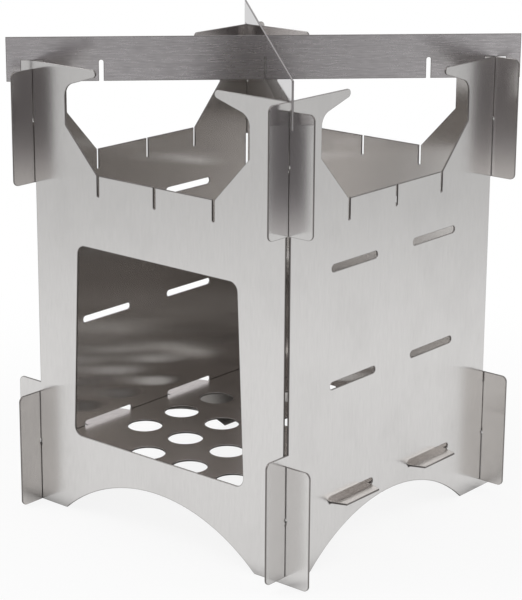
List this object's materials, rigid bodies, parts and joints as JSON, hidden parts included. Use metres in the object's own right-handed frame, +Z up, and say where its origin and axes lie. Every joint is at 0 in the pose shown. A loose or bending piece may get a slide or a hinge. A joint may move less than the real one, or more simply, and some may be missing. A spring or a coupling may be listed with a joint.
{
  "type": "camping wood stove",
  "caption": "Flat-pack wood stove of slotted steel walls with a fuel door, a perforated fire grate and crossed pot bars.",
  "frame": {"origin": "middle of the footprint, on the ground", "axes": "+Z up, -Y out through the fuel door, +X to the right of someone facing the fuel door"},
  "size_m": [0.2, 0.2, 0.252],
  "materials": {
    "wall_steel": "fine vertical brushing, as supplied sheet",
    "grate_steel": "fine brushing, laser-cut edges",
    "bar_steel": "brushing along the bar"
  },
  "bodies": {
    "stove_walls": {"front_panel": "wall_steel", "right_panel": "wall_steel", "left_panel": "wall_steel", "fire_grate": "grate_steel"},
    "back_wall": {"back_panel": "wall_steel"},
    "lower_bar": {"lower_pot_bar": "bar_steel"},
    "upper_bar": {"upper_pot_bar": "bar_steel"}
  },
  "joints": [
    {"name": "back_wall_lift", "type": "slide", "parent": "stove_walls", "child": "back_wall", "axis": [0, 0, 1], "range_m": [0, 0.065]},
    {"name": "lower_bar_lift", "type": "slide", "parent": "back_wall", "child": "lower_bar", "axis": [0, 0, 1], "range_m": [0, 0.03]},
    {"name": "upper_bar_lift", "type": "slide", "parent": "lower_bar", "child": "upper_bar", "axis": [0, 0, 1], "range_m": [0, 0.03]}
  ]
}
